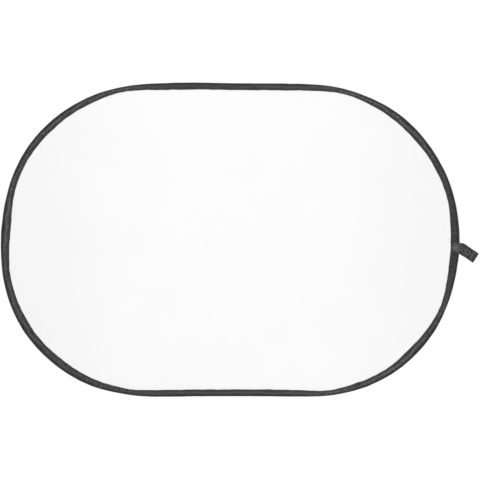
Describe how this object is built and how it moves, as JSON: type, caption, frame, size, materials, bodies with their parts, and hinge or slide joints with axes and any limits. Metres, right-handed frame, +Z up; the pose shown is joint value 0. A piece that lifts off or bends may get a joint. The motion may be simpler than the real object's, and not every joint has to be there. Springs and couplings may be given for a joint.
{
  "type": "collapsible reflector panel",
  "caption": "Oval collapsible reflector: a white cloth held flat by a flat spring steel hoop in a dark edge binding, with a folded webbing pull loop at one end.",
  "frame": {"origin": "outer edge of the rim at the middle of the top side, at mid-thickness, where a holder's clip or a hand takes the panel", "axes": "+X to the right along the panel's length, +Y through the panel to its back, +Z up; the front face looks along -Y"},
  "size_m": [0.9416, 0.0102, 0.615],
  "materials": {
    "white_cloth": "fine plain-weave synthetic cloth, matt white on both faces",
    "binding_tape": "charcoal woven binding tape, matt",
    "spring_steel": "tempered flat spring steel, thin oil film",
    "plated_steel": "plated soft steel, crimped",
    "shrunk_plastic": "black shrunk polyolefin",
    "webbing": "charcoal woven webbing, slight sheen"
  },
  "bodies": {
    "panel": {"cloth_panel": "white_cloth", "edge_binding": "binding_tape", "spring_band": "spring_steel", "band_ferrule": "plated_steel", "ferrule_sleeve": "shrunk_plastic", "strap_root": "webbing"},
    "pull_loop": {"pull_loop": "webbing"}
  },
  "joints": [
    {"name": "loop_swing", "type": "hinge", "parent": "panel", "child": "pull_loop", "pos_m": [0.457, 0, -0.3266], "axis": [0, 0, 1], "range_deg": [-115, 115]}
  ]
}
